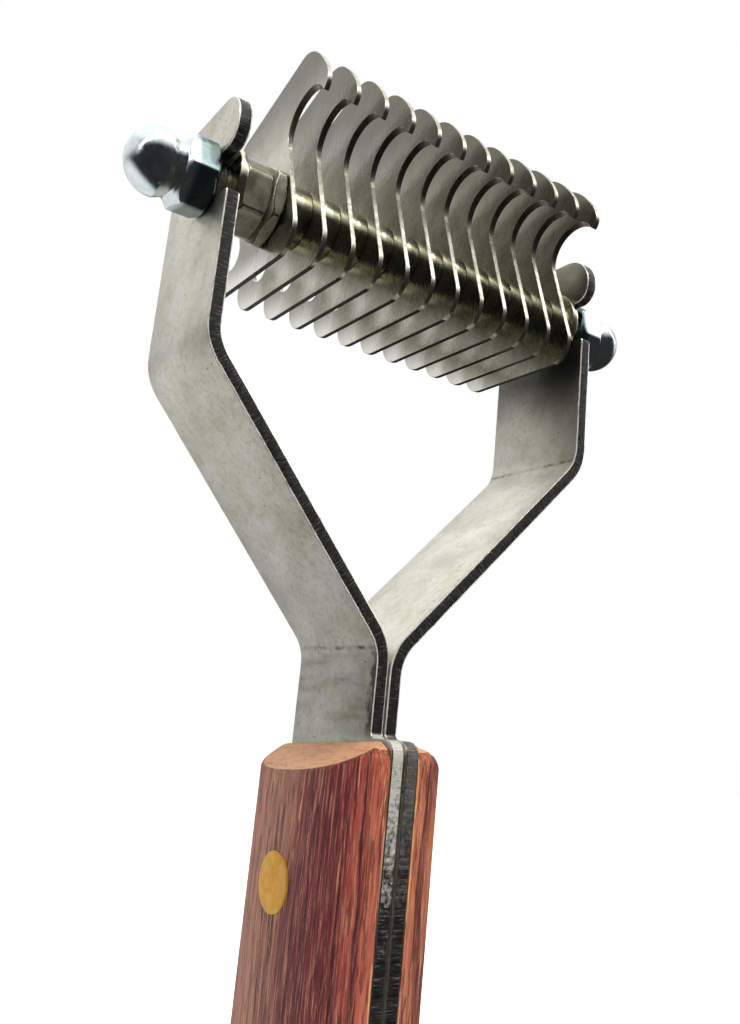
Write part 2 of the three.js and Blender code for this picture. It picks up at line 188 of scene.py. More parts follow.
def soften(bm, width, angle):
    """Rounds every edge sharper than the angle in degrees, and gives the faces that this makes."""
    bm.normal_update()
    limit = math.radians(angle)
    edges = [e for e in bm.edges if len(e.link_faces) == 2 and e.calc_face_angle(0) > limit]
    made = bmesh.ops.bevel(bm, geom=edges, offset=width, segments=2, profile=0.5, affect="EDGES")
    return made["faces"]


def make_object(name, bm, materials):
    """Turns a bmesh into an object of the scene."""
    mesh = bpy.data.meshes.new(name)
    bm.to_mesh(mesh)
    bm.free()
    for material in materials:
        mesh.materials.append(material)
    made = bpy.data.objects.new(name, mesh)
    scene.collection.objects.link(made)
    return made


def make_piece(name, bm, body, node, materials, sharp=32):
    """Turns a bmesh into a piece that rides on a body in place of its CAD node."""
    bmesh.ops.recalc_face_normals(bm, faces=bm.faces[:])
    for face in bm.faces:
        face.smooth = True
    piece = make_object(name, bm, materials)
    piece.data.set_sharp_from_angle(angle=math.radians(sharp))
    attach(piece, body)
    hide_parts(node)


# ---------- shader helpers ----------


class Graph:
    """Short calls for the nodes of a material or of the world."""

    def __init__(self, tree):
        self.tree = tree

    def add(self, kind, inputs=(), **settings):
        """A node of that kind. Each input, by name or number, is a value or another node's output."""
        node = self.tree.nodes.new("ShaderNode" + kind)
        for key, value in settings.items():
            setattr(node, key, value)
        for socket, value in dict(inputs).items():
            if isinstance(value, bpy.types.NodeSocket):
                self.tree.links.new(value, node.inputs[socket])
            else:
                node.inputs[socket].default_value = value
        return node

    def axis(self, vector, name):
        return self.add("SeparateXYZ", {0: vector}).outputs[name]

    def scaled(self, vector, factors):
        return self.add("VectorMath", {0: vector, 1: factors}, operation="MULTIPLY").outputs[0]

    def maths(self, operation, one, two=0.0):
        return self.add("Math", {0: one, 1: two}, operation=operation).outputs[0]

    def plus(self, one, two):
        return self.maths("ADD", one, two)

    def minus(self, one, two):
        return self.maths("SUBTRACT", one, two)

    def times(self, one, two):
        return self.maths("MULTIPLY", one, two)

    def between(self, one, two):
        """The difference of two values, without its sign."""
        return self.maths("ABSOLUTE", self.minus(one, two))

    def remap(self, value, low, high, to_low=0.0, to_high=1.0):
        """Eases from to_low at low to to_high at high, and stays level beyond them."""
        inputs = {"Value": value, "From Min": low, "From Max": high, "To Min": to_low, "To Max": to_high}
        return self.add("MapRange", inputs, interpolation_type="SMOOTHSTEP").outputs[0]


class Look(Graph):
    """A Principled material. Its coordinates are in millimetres."""

    def __init__(self, name, **settings):
        self.material = bpy.data.materials.new(name)
        self.material.use_nodes = True
        super().__init__(self.material.node_tree)
        self.surface = self.tree.nodes["Principled BSDF"]
        for socket, value in settings.items():
            self.surface.inputs[socket.replace("_", " ")].default_value = value

    def place(self, stretch=(1, 1, 1)):
        """The piece's own coordinates, times stretch."""
        source = self.add("TexCoord").outputs["Object"]
        return self.scaled(source, tuple(s / MM for s in stretch))

    def stored(self, name, stretch=(1, 1, 1)):
        """Coordinates kept in a vertex attribute, times stretch."""
        source = self.add("Attribute", attribute_name=name).outputs["Vector"]
        return self.scaled(source, stretch)

    def noise(self, vector, scale=1.0, detail=3, roughness=0.55):
        inputs = {"Vector": vector, "Scale": scale, "Detail": detail, "Roughness": roughness}
        return self.add("TexNoise", inputs).outputs["Fac"]

    def spread(self, noise, to_low, to_high):
        """Stretches a noise's usual range, 0.3 to 0.7, over another one."""
        return self.remap(noise, 0.3, 0.7, to_low, to_high)

    def dots(self, vector, scale, full, gone, patches):
        """Scattered round dots, only where a slower noise, of the scale patches, lets them through."""
        away = self.add("TexVoronoi", {"Vector": vector, "Scale": scale}).outputs["Distance"]
        dot = self.remap(away, full, gone, 1.0, 0.0)
        return self.times(dot, self.remap(self.noise(vector, patches), 0.5, 0.56))

    def band(self, value, middle, half, fade):
        """1 within half of middle, fading to 0 over fade."""
        return self.remap(self.between(value, middle), half, half + fade, 1.0, 0.0)

    def off_seam(self, place):
        """Distance from the seam between the tool's two halves."""
        return self.between(self.axis(place, "X"), SEAM_X / MM)

    def mix(self, share, one, two):
        inputs = {0: share, 6: one, 7: two}
        return self.add("Mix", inputs, data_type="RGBA").outputs[2]

    def ramp(self, value, *stops):
        """Colours along a value. A stop is its position, red, green and blue, as in rgb."""
        node = self.add("ValToRGB", {0: value})
        elements = node.color_ramp.elements
        while len(elements) < len(stops):
            elements.new(0.5)
        for element, (position, *colour) in zip(elements, stops):
            element.position = position
            element.color = rgb(*colour)
        return node.outputs[0]

    def bump(self, height, distance, strength, under=None):
        """Surface relief of that depth, on top of the relief under it."""
        inputs = {"Height": height, "Distance": distance * MM, "Strength": strength}
        if under is not None:
            inputs["Normal"] = under
        return self.add("Bump", inputs).outputs[0]

    def finish(self, colour, roughness=None, normal=None):
        """Links what is given to the surface, and gives the material."""
        for socket, value in (("Base Color", colour), ("Roughness", roughness), ("Normal", normal)):
            if value is not None:
                self.tree.links.new(value, self.surface.inputs[socket])
        return self.material


def rgb(red, green, blue):
    """A linear colour from screen values between 0 and 255."""
    shares = [value / 255 for value in (red, green, blue)]
    return (*(s / 12.92 if s < 0.04045 else ((s + 0.055) / 1.055) ** 2.4 for s in shares), 1.0)


# ---------- materials ----------


def strap_grime_and_bend_shade(look, place, flat, bends, neck):
    """Painted shade in the hollow of each bend, and a dirty strip down the neck's front edge."""
    outside = look.remap(look.axis(flat, "X"), 0.1, 0.3)
    inside = look.remap(look.axis(flat, "X"), -0.3, -0.1, 1.0, 0.0)
    # painted shade in the hollow of each bend: the outer face at the lower bend, the inner face at the
    # upper one
    low = look.times(look.band(look.axis(bends, "X"), 0.0, 0.05, 0.45), outside)
    high = look.times(look.band(look.axis(bends, "Y"), 0.0, 0.05, 0.45), inside)
    bend_shade_patches = look.remap(look.noise(place, 0.5, detail=5, roughness=0.65), 0.44, 0.66, 0.15, 1.0)
    bend_shade = look.times(look.maths("MAXIMUM", low, high), bend_shade_patches)

    front = (ARM_Y - STRAP_WIDTH / 2) / MM
    ragged = look.spread(look.noise(place, 0.45, detail=5), -0.7, 0.7)
    edge = look.plus(look.minus(look.axis(flat, "Y"), front), ragged)
    strip = look.times(look.times(look.remap(edge, 0.35, 1.2, 1.0, 0.0), neck), outside)
    return look.times(look.maths("MAXIMUM", strip, bend_shade), 0.8)


def strap_shade(look, flat, above):
    """Painted light and shade on the faces, by height above the upper bend.

    The outer faces are painted darker from the head down to the neck. The inner faces are painted darker
    above the upper bend, with a painted shadow beside the stud.
    """
    outer = look.remap(above, -38.0, 20.0, 0.66, 1.14)
    outer = look.plus(outer, look.remap(above, 22.0, 32.0, 0.0, -0.2))
    # painted shadow of the head on the inner faces beside the stud
    head_shadow = look.times(look.band(above, 17.0, 2.0, 9.0), -0.62)
    inner = look.plus(look.remap(above, -14.0, 8.0, 1.3, 0.86), head_shadow)
    on_outside = look.remap(look.axis(flat, "X"), -0.1, 0.1)
    return look.plus(inner, look.times(on_outside, look.minus(outer, inner)))


def strap_face():
    """Tumbled sheet steel: warm grey clouds, fine grit, small dark pits, wiped stains and a dirty strip
    on the neck, painted shade in the bends, and painted light and shade by height.
    """
    look = Look("strap_face", Metallic=1.0)
    place = look.place()
    flat = look.stored("flat")
    bends = look.stored("bends")
    clouds = look.noise(place, 0.16, detail=5, roughness=0.6)
    tone = look.ramp(clouds, (0.32, 184, 181, 168), (0.5, 200, 198, 186), (0.68, 212, 211, 202))
    tint = look.remap(look.noise(place, 0.33), 0.54, 0.7, 0.0, 0.3)
    tone = look.mix(tint, tone, rgb(172, 156, 136))
    mottle = look.noise(place, 1.6, detail=6, roughness=0.7)
    tone = look.mix(look.remap(mottle, 0.5, 0.72, 0.0, 0.35), tone, rgb(140, 136, 122))
    pit = look.dots(place, 0.75, 0.05, 0.13, 0.3)
    tone = look.mix(look.times(pit, 0.75), tone, rgb(60, 55, 48))

    neck = look.band(look.axis(flat, "Z"), (HANDLE_TOP + LOWER_BEND) / 2 / MM, 3.2, 2.5)
    wipes = look.noise(look.stored("flat", (0.2, 0.1, 0.6)), detail=6)
    wipes = look.times(look.remap(wipes, 0.4, 0.7, 0.0, 0.5), neck)
    tone = look.mix(wipes, tone, rgb(126, 122, 100))
    # darkens the dirty strip on the neck, and paints shade into the hollow of each bend
    tone = look.mix(strap_grime_and_bend_shade(look, place, flat, bends, neck), tone, rgb(52, 49, 40))
    # painted light and shade by height along the strap
    tone = look.scaled(tone, strap_shade(look, flat, look.axis(bends, "Y")))

    roughness = look.spread(mottle, 0.34, 0.46)
    grit = look.bump(look.noise(place, 5.5, detail=5, roughness=0.7), 0.035, 0.55)
    dents = look.bump(look.minus(look.noise(place, 0.5), pit), 0.06, 0.35, grit)
    return look.finish(tone, roughness, dents)


def strap_rim():
    """Sheared edge of the sheet: near black, finely ribbed across, ground clean in the handle's top."""
    look = Look("strap_rim", Metallic=0.4)
    ribs = look.noise(look.stored("flat", (0.5, 0.8, 6.0)), detail=5, roughness=0.7)
    patches = look.noise(look.stored("flat", (0.5, 0.5, 0.35)), detail=4)
    dark = look.ramp(ribs, (0.38, 16, 15, 15), (0.56, 42, 41, 39), (0.7, 118, 116, 110))
    clean = look.ramp(ribs, (0.3, 156, 153, 142), (0.6, 198, 195, 185), (0.75, 226, 222, 212))
    along = look.axis(look.stored("flat"), "Z")
    speckle = look.noise(look.stored("flat", (2.2, 2.2, 2.2)), detail=4, roughness=0.7)
    uneven = look.plus(look.spread(patches, -3, 3), look.spread(speckle, -6, 6))
    worn = look.plus(along, uneven)
    ground = look.remap(worn, HANDLE_TOP / MM - 18, HANDLE_TOP / MM - 3)
    in_handle = look.remap(along, HANDLE_TOP / MM + 0.2, HANDLE_TOP / MM + 0.7, 1.0, 0.0)
    off_seam = look.minus(look.axis(look.place(), "X"), SEAM_X / MM)
    by_tang = look.remap(off_seam, -0.1, 0.1, 1.0, 0.16)  # the left tang is cleaner than the right one
    share = look.times(look.times(ground, in_handle), by_tang)
    tone = look.mix(share, dark, clean)
    roughness = look.spread(patches, 0.34, 0.5)
    relief = look.bump(ribs, 0.1, 0.6)
    return look.finish(tone, roughness, relief)


def strap_corner():
    """Burnished corner line where the tumbling has brightened the sheet's edge, dark in the handle."""
    look = Look("strap_corner", Metallic=0.6)
    place = look.place()
    wear = look.noise(place, 0.9, detail=4)
    tone = look.ramp(wear, (0.34, 176, 172, 160), (0.5, 232, 230, 220), (0.7, 246, 245, 240))
    along = look.axis(look.stored("flat"), "Z")
    in_handle = look.remap(along, HANDLE_TOP / MM - 1, HANDLE_TOP / MM + 0.5, 0.94, 0.0)
    tone = look.mix(in_handle, tone, rgb(44, 43, 41))
    roughness = look.remap(wear, 0.35, 0.65, 0.26, 0.16)
    relief = look.bump(look.noise(place, 4.0, detail=4), 0.03, 0.5)
    return look.finish(tone, roughness, relief)


def blade_face():
    """Satin rolled steel with warm brown tints, faint grinding lines and a few specks, with painted
    shade at the hook tips and round the stud, and painted light on the low fingers.
    """
    look = Look("blade_face", Metallic=1.0)
    place = look.place()
    clouds = look.noise(place, 0.22, detail=4)
    tone = look.ramp(clouds, (0.34, 178, 177, 164), (0.5, 196, 196, 184), (0.66, 206, 206, 196))
    brown = look.remap(look.noise(place, 0.3), 0.52, 0.7, 0.0, 0.4)
    tone = look.mix(brown, tone, rgb(166, 146, 120))
    speck = look.dots(place, 0.55, 0.03, 0.09, 0.4)
    tone = look.mix(look.times(speck, 0.6), tone, rgb(74, 66, 54))

    # painted shade towards the tips of the hooks and round the stud, painted light on the low fingers
    height = look.minus(look.axis(place, "Z"), AXLE_Z / MM)
    tip = look.remap(height, 5.0, 16.0, 0.0, 0.9)
    tone = look.mix(tip, tone, rgb(92, 91, 78))
    hub_shade = look.band(height, -2.5, 1.0, 5.0)
    tone = look.mix(look.times(hub_shade, 0.5), tone, rgb(72, 70, 60))
    tone = look.mix(look.remap(height, -8.5, -4.0, 0.85, 0.0), tone, rgb(246, 244, 236))

    lines = look.noise(look.place((1, 5.5, 0.5)), detail=5, roughness=0.6)
    roughness = look.spread(lines, 0.2, 0.3)
    relief = look.bump(lines, 0.012, 0.5)
    relief = look.bump(look.noise(place, 4.5, detail=4), 0.014, 0.4, relief)
    waves = look.bump(look.noise(place, 0.28, detail=2), 0.1, 0.5, relief)
    return look.finish(tone, roughness, waves)


def blade_rim(name, low, high, roughness):
    """Cut edge of a blade, from its darkest to its brightest tone."""
    look = Look(name, Metallic=1.0)
    place = look.place()
    wear = look.noise(place, 1.2, detail=5, roughness=0.65)
    tone = look.mix(look.remap(wear, 0.25, 0.7), low, high)
    relief = look.bump(look.noise(place, 3.0, detail=4), 0.012, 0.4)
    return look.finish(tone, look.spread(wear, roughness + 0.05, roughness - 0.05), relief)


def turned_steel():
    """Polished tube and washers: fine turning marks round the stud's axis."""
    look = Look("turned_steel", Metallic=1.0)
    marks = look.noise(look.place((9, 0.25, 0.25)), detail=5, roughness=0.7)
    smear = look.noise(look.place((0.8, 0.5, 0.5)))
    tone = look.ramp(smear, (0.35, 206, 202, 174), (0.55, 228, 225, 200), (0.7, 238, 236, 216))
    roughness = look.remap(look.plus(marks, smear), 0.8, 1.2, 0.12, 0.24)
    return look.finish(tone, roughness, look.bump(marks, 0.006, 0.5))


def nut_steel():
    """Dull olive-grey steel of the lock nuts and the stud."""
    look = Look("nut_steel", Metallic=0.8)
    place = look.place()
    clouds = look.noise(place, 0.6, detail=5, roughness=0.6)
    tone = look.ramp(clouds, (0.34, 124, 124, 106), (0.5, 152, 152, 132), (0.68, 174, 173, 152))
    grit = look.noise(place, 5.0, detail=5, roughness=0.7)
    tone = look.mix(look.remap(grit, 0.55, 0.75, 0.0, 0.4), tone, rgb(78, 76, 62))
    return look.finish(tone, look.spread(clouds, 0.3, 0.42), look.bump(grit, 0.02, 0.5))


def nut_corner():
    """Rubbed corner of a lock nut."""
    look = Look("nut_corner", Metallic=1.0)
    wear = look.noise(look.place(), 1.5, detail=4)
    tone = look.mix(look.remap(wear, 0.35, 0.6), rgb(150, 148, 132), rgb(214, 212, 200))
    return look.finish(tone, look.spread(wear, 0.3, 0.2))


def zinc_plate():
    """Bright bluish zinc plating with a faint orange-peel and hazy patches, coloured darker on the
    hexagon.
    """
    look = Look("zinc_plate", Metallic=1.0)
    place = look.place()
    haze = look.noise(place, 0.55, detail=4)
    tone = look.ramp(haze, (0.34, 200, 213, 217), (0.52, 220, 230, 233), (0.68, 232, 239, 241))
    hexagon_end = ((LEFT_REACH + RIGHT_REACH) / 2 + CAP_HEX_HEIGHT) / MM
    # the hexagon is coloured darker than the dome
    dull = look.remap(look.off_seam(place), hexagon_end - 0.6, hexagon_end + 0.4, 0.92, 0.0)
    tone = look.mix(dull, tone, rgb(96, 114, 116))
    fog = look.noise(place, 2.4, detail=5, roughness=0.65)
    roughness = look.remap(look.plus(haze, fog), 0.8, 1.2, 0.1, 0.24)
    relief = look.bump(fog, 0.012, 0.45)
    return look.finish(tone, roughness, relief)


def plank(look, layer):
    """Broad bands of the plank across its layers, from its right-hand edge to its left-hand one."""
    bands = (
        (-22, 140, 80, 56),
        (-13, 150, 84, 58),
        (-9, 144, 62, 48),
        (-5.5, 104, 34, 36),
        (-2.5, 92, 28, 36),
        (1.5, 88, 38, 38),
        (4, 120, 74, 58),
        (8, 136, 98, 76),
        (13, 132, 76, 58),
    )
    first, last = bands[0][0], bands[-1][0]
    inputs = {"Value": layer, "From Min": first, "From Max": last}
    share = look.add("MapRange", inputs).outputs[0]
    return look.ramp(share, *(((at - first) / (last - first), *colour) for at, *colour in bands))


def hardwood(name, end_grain):
    """Reddish striped hardwood: broad bands, dark streaks, thin pale lines, fibres and pores along Z."""
    look = Look(name, Specular_IOR_Level=0.25)
    place = look.place()
    drift = look.spread(look.noise(look.place((0.05, 0.05, 0.014))), -1.4, 1.4)
    layer = look.plus(look.plus(look.axis(place, "Y"), look.times(look.axis(place, "X"), -0.8)), drift)
    height = look.times(look.axis(place, "Z"), 0.011)
    sheet = look.add("CombineXYZ", {0: layer, 1: height, 2: 0.0}).outputs[0]
    tone = plank(look, look.plus(layer, look.spread(look.noise(sheet, 0.7), -1.6, 1.6)))

    streak = look.remap(look.noise(sheet, 0.95, roughness=0.6), 0.5, 0.6, 0.0, 0.66)
    tone = look.mix(streak, tone, rgb(70, 26, 36))
    core = look.remap(look.noise(sheet, 1.7, detail=2), 0.57, 0.66, 0.0, 0.8)
    tone = look.mix(core, tone, rgb(44, 18, 26))
    thread = look.remap(look.noise(sheet, 3.1, detail=1), 0.66, 0.7, 0.0, 0.6)
    broken = look.noise(look.place((0.9, 0.9, 0.14)), detail=5, roughness=0.7)
    broken = look.remap(broken, 0.48, 0.58)
    tone = look.mix(look.times(thread, broken), tone, rgb(214, 154, 106))

    grain = (4.5, 4.5, 4.5) if end_grain else (5.0, 5.0, 0.2)
    fibre = look.noise(look.place(grain), detail=6, roughness=0.75)
    tone = look.mix(look.remap(fibre, 0.48, 0.7, 0.0, 0.6), tone, rgb(196, 136, 108))
    tone = look.mix(look.remap(fibre, 0.3, 0.48, 0.8, 0.0), tone, rgb(56, 22, 26))
    pores = (4.0, 4.0, 4.0) if end_grain else (3.5, 3.5, 0.28)
    pore = look.remap(look.noise(look.place(pores)), 0.56, 0.64)
    tone = look.mix(look.times(pore, 0.6), tone, rgb(64, 28, 28))
    if end_grain:
        tone = look.mix(0.6, tone, rgb(230, 178, 132))
        rays = look.noise(look.place((2.6, 0.35, 2.6)), detail=5, roughness=0.65)
        tone = look.mix(look.remap(rays, 0.48, 0.66, 0.0, 0.6), tone, rgb(158, 84, 60))

    # pale line of raw wood along the edge beside the tang
    frayed = look.plus(look.off_seam(place), look.spread(fibre, -0.16, 0.16))
    line = look.remap(frayed, TANG_SIDE / MM + 0.08, TANG_SIDE / MM + 0.26, 0.55, 0.0)
    tone = look.mix(look.times(line, broken), tone, rgb(220, 172, 112))

    roughness = look.spread(fibre, 0.4, 0.6)
    relief = look.bump(look.minus(fibre, look.times(pore, 1.5)), 0.07, 0.8)
    return look.finish(tone, roughness, relief)


def rivet_brass():
    """Matt yellow brass, sanded with the wood: faint clouds, fine sanding lines."""
    look = Look("rivet_brass", Metallic=0.85)
    place = look.place()
    clouds = look.noise(place, 0.7, detail=4)
    tone = look.ramp(clouds, (0.3, 190, 140, 52), (0.5, 202, 152, 62), (0.7, 210, 166, 80))
    lines = look.noise(look.place((2, 9, 0.8)), detail=5)
    roughness = look.spread(lines, 0.38, 0.52)
    return look.finish(tone, roughness, look.bump(lines, 0.012, 0.5))


# ---------- handle ----------


def scale_depth(y):
    """How far the scale's rounded outside stands from its flat inner face."""
    share = min(1.0, abs(y - HANDLE_Y) / (HANDLE_WIDTH / 2))
    return SCALE_THICKNESS * (1 - share**SCALE_ROUNDNESS) ** (1 / SCALE_ROUNDNESS)


def scale_top(x, y):
    """Height of the scale's sawn, bevelled and rounded top end, x from the seam."""
    sawn = HANDLE_TOP - (y - HANDLE_FRONT) * math.tan(TOP_TILT)
    bevelled = sawn - BEVEL_SLOPE * max(0.0, x - BEVEL_START)
    past = abs(y - HANDLE_Y) - (HANDLE_WIDTH / 2 - SHOULDER_RADIUS)
    if past <= 0:
        return bevelled
    rounded = HANDLE_TOP - SHOULDER_RADIUS + math.sqrt(max(0.0, SHOULDER_RADIUS**2 - past**2))
    return min(bevelled, rounded)


def scale_bottom(x):
    """Height of the scale's chamfered butt end, x from the seam."""
    return max(0.0, x - (SCALE_INNER + SCALE_THICKNESS - BUTT_CHAMFER))


def scale_section(steps=72, flat_steps=10):
    """Plan view of a scale as (x from the seam, y): round outside, then back along the flat inside."""
    touch = TANG_SIDE + SEAT
    power = 2 / SCALE_ROUNDNESS
    points = []
    for i in range(steps + 1):
        angle = math.pi * (i / steps - 0.5)
        reach = SCALE_THICKNESS * max(0.0, math.cos(angle)) ** power
        swing = math.copysign(abs(math.sin(angle)) ** power, math.sin(angle))
        points.append((SCALE_INNER + reach, HANDLE_Y + HANDLE_WIDTH / 2 * swing))
    for i in range(flat_steps + 1):
        y = HANDLE_Y + HANDLE_WIDTH / 2 * (1 - 2 * i / flat_steps)
        points.append((touch, y))
    return points


def build_scale(side, node, wood, end_wood):
    """One handle scale: rings of the section from the middle of the top, down the side, to the butt."""
    section = scale_section()
    middle = (SCALE_INNER + SCALE_THICKNESS * 0.35, HANDLE_Y)

    def ring(share, height):
        points = []
        for x, y in section:
            px = middle[0] + (x - middle[0]) * share
            py = middle[1] + (y - middle[1]) * share
            points.append((SEAM_X + side * px, py, height(px, py)))
        return points

    # each end: rings from its middle to where its rounding starts, then one within the rounding
    inset = 1 - END_ROUNDING / (HANDLE_WIDTH / 4)
    shares = [0.02, 0.12, 0.25, 0.38, 0.5, 0.62, 0.74, 0.84, 0.92, inset]
    part_way = 1 - 0.3 * (1 - inset)
    drop = 0.3 * END_ROUNDING
    rings = [ring(share, scale_top) for share in shares]
    rings.append(ring(part_way, lambda x, y: scale_top(x, y) - drop))
    rows = 64
    for i in range(rows + 1):
        down = i / rows

        def side_height(x, y):
            top = scale_top(x, y) - END_ROUNDING
            return (1 - down) * top + down * (scale_bottom(x) + END_ROUNDING)

        rings.append(ring(1, side_height))
    rings.append(ring(part_way, lambda x, y: scale_bottom(x) + drop))
    rings += [ring(share, lambda x, y: scale_bottom(x)) for share in reversed(shares)]

    bm = bmesh.new()
    loops = skin(bm, rings)
    close_ends(bm, loops)
    top = set(vert for loop in loops[: len(shares)] for vert in loop)
    butt = set(vert for loop in loops[-len(shares) :] for vert in loop)
    for face in bm.faces:
        on_end = top.issuperset(face.verts) or butt.issuperset(face.verts)
        face.material_index = 1 if on_end else 0
    name = ("left" if side < 0 else "right") + "_wood_scale"
    make_piece(name, bm, "frame", node, [wood, end_wood])


def build_rivet(node, brass):
    """A pin through the handle whose ends follow the wood's curve, slightly proud, with eased rims."""
    low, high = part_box(node)
    centre_z = (low.z + high.z) / 2
    radius = (high.z - low.z) / 2
    steps = 48
    # rings from the middle of an end to its rim: share of the radius, and depth below the end
    profile = [(0.02, 0.0), (0.3, 0.0), (0.6, 0.0), (0.85, 0.0)]
    profile += [(0.95, 0.02 * MM), (1.0, 0.09 * MM), (1.0, 0.8 * MM)]

    def ring(side, share, drop):
        points = []
        for i in range(steps):
            angle = 2 * math.pi * i / steps
            y = HANDLE_Y + radius * share * math.cos(angle)
            z = centre_z + radius * share * math.sin(angle)
            x = SCALE_INNER + scale_depth(y) + RIVET_PROUD - drop
            points.append((SEAM_X + side * x, y, z))
        return points

    bm = bmesh.new()
    rings = [ring(-1, *row) for row in profile] + [ring(1, *row) for row in reversed(profile)]
    close_ends(bm, skin(bm, rings))
    make_piece(node + "_pin", bm, "frame", node, [brass])


# ---------- arms ----------


def strap_path(reach, lower_bend, upper_bend):
    """A strap's middle line in front view, as a function from length along it to (x, z, lean).

    Also gives how much longer the strap is than it is tall, and how far along its two bends are.
    """
    middle = (GAP + STRAP_THICKNESS) / 2
    radius = BEND_RADIUS + STRAP_THICKNESS / 2
    run = reach - GAP / 2
    rise = upper_bend - lower_bend
    turn = math.atan2(run, rise)
    tangent = radius * math.tan(turn / 2)
    low_start = lower_bend - tangent
    low_end = low_start + radius * turn
    high_start = low_end + math.hypot(run, rise) - 2 * tangent
    high_end = high_start + radius * turn

    def place(s):
        if s <= low_start:
            return middle, s, 0.0
        lean = min(turn, (s - low_start) / radius)
        x = middle + radius * (1 - math.cos(lean))
        z = low_start + radius * math.sin(lean)
        if s <= low_end:
            return x, z, lean
        slope = min(s, high_start) - low_end
        x += slope * math.sin(turn)
        z += slope * math.cos(turn)
        if s <= high_start:
            return x, z, turn
        lean = max(0.0, turn - (s - high_start) / radius)
        x += radius * (math.cos(lean) - math.cos(turn))
        z += radius * (math.sin(turn) - math.sin(lean)) + max(0.0, s - high_end)
        return x, z, lean

    bends = ((low_start + low_end) / 2, (high_start + high_end) / 2)
    return place, high_end - place(high_end)[1], bends


def arm_outline(stretch):
    """The strap before bending as (y, length along it): tang, neck, and rounded end with its slot.

    stretch is how much longer the strap is than it is tall, below the straight end.
    """
    shoulder = HANDLE_TOP + TANG_RISE
    back_shoulder = shoulder - HANDLE_WIDTH * math.tan(TOP_TILT)
    front = ARM_Y - STRAP_WIDTH / 2
    back = ARM_Y + STRAP_WIDTH / 2
    axle = AXLE_Z + stretch
    top = ARM_TOP + stretch
    slot = SLOT_WIDTH / 2
    back_corner = (HANDLE_BACK - back) / 2
    lobe_front = front - LOBE_OVERHANG
    points = [(HANDLE_FRONT, 0.0), (HANDLE_BACK, 0.0)]
    points += arc((HANDLE_BACK - back_corner, back_shoulder - back_corner), back_corner, 0, 90, 15)
    points += [(back, back_shoulder)]
    points += arc((back - ARM_BACK_CORNER, top - ARM_BACK_CORNER), ARM_BACK_CORNER, 0, 90)
    points += arc((lobe_front + ARM_FRONT_CORNER, top - ARM_FRONT_CORNER), ARM_FRONT_CORNER, 90, 180)
    points += arc((lobe_front + SLOT_LIP, axle + slot + SLOT_LIP), SLOT_LIP, 180, 270)
    points += arc((AXLE_Y, axle), slot, 90, -90)
    points += arc((front + SLOT_CORNER, axle - slot - SLOT_CORNER), SLOT_CORNER, 90, 180, 15)
    points += arc((front - NECK_FILLET, shoulder + NECK_FILLET), NECK_FILLET, 0, -90, 15)
    points += arc((HANDLE_FRONT + TANG_CORNER, shoulder - TANG_CORNER), TANG_CORNER, 90, 180)
    return without_repeats(points)


def strap_blank(outline):
    """A closed flat plate with that outline, cut into short rows along its length."""
    sheet = bmesh.new()
    sheet.faces.new([sheet.verts.new((0, y, s)) for y, s in outline])
    length = max(s for _, s in outline)
    on_cut = 0.001 * MM  # vertices this close to a cut are left on it
    for i in range(1, int(length / CUT_SPACING)):
        geometry = sheet.verts[:] + sheet.edges[:] + sheet.faces[:]
        cut = {"plane_co": (0, 0, i * CUT_SPACING), "plane_no": (0, 0, 1)}
        bmesh.ops.bisect_plane(sheet, geom=geometry, dist=on_cut, **cut)
    sheet.verts.index_update()
    plate = bmesh.new()
    half = STRAP_THICKNESS / 2
    inner = [plate.verts.new((-half, v.co.y, v.co.z)) for v in sheet.verts]
    outer = [plate.verts.new((half, v.co.y, v.co.z)) for v in sheet.verts]
    for face in sheet.faces:
        corners = [v.index for v in face.verts]
        plate.faces.new([inner[c] for c in corners])
        plate.faces.new([outer[c] for c in reversed(corners)])
    for edge in sheet.edges:
        if edge.is_boundary:
            a, b = (v.index for v in edge.verts)
            plate.faces.new((inner[a], inner[b], outer[b], outer[a]))
    sheet.free()
    bmesh.ops.recalc_face_normals(plate, faces=plate.faces[:])
    return plate


def ease_corners(bm):
    """Rounds the edges between the strap's broad faces and its rim, and shares out its materials."""
    corners = []
    for edge in bm.edges:
        one, two = (abs(face.normal.x) for face in edge.link_faces)
        if abs(one - two) > 0.5:
            corners.append(edge)
    bmesh.ops.bevel(bm, geom=corners, offset=ARM_EDGE, segments=2, profile=0.5, affect="EDGES")
    bm.normal_update()
    broad, rim, corner = range(3)
    for face in bm.faces:
        facing = abs(face.normal.x)
        if facing > 0.9:
            face.material_index = broad
        elif facing < 0.1:
            face.material_index = rim
        else:
            face.material_index = corner


def build_arm(side, node, materials):
    """One arm, made as the real one is: cut flat, corners eased, then bent.

    The attribute "flat" keeps where each vertex was before bending, and "bends" how far along the
    strap it is from the two bends, both in millimetres.
    """
    reach = LEFT_REACH if side < 0 else RIGHT_REACH
    drop = 0.0 if side < 0 else RIGHT_BEND_DROP
    place, stretch, bends = strap_path(reach, LOWER_BEND - drop, UPPER_BEND - drop)
    bm = strap_blank(arm_outline(stretch))
    ease_corners(bm)
    flat = bm.verts.layers.float_vector.new("flat")
    off_bends = bm.verts.layers.float_vector.new("bends")
    for vert in bm.verts:
        ripple = noise.noise(Vector((side * 5, vert.co.x / MM, vert.co.z / MM * 1.3)))
        slow = noise.noise(Vector((side * 9, vert.co.x / MM * 0.5, vert.co.z / MM * 0.35)))
        vert[flat] = vert.co / MM
        vert[off_bends] = Vector((vert.co.z - bends[0], vert.co.z - bends[1], 0)) / MM
        y = vert.co.y + SHEAR_RIPPLE * (ripple + 0.8 * slow) * (vert.co.z > HANDLE_TOP + 2 * MM)
        x, z, lean = place(vert.co.z)
        x += vert.co.x * math.cos(lean)
        z -= vert.co.x * math.sin(lean)
        vert.co = (SEAM_X + side * x, y, z)
    name = ("left" if side < 0 else "right") + "_bent_strap"
    make_piece(name, bm, "frame", node, materials)


# ---------- head ----------


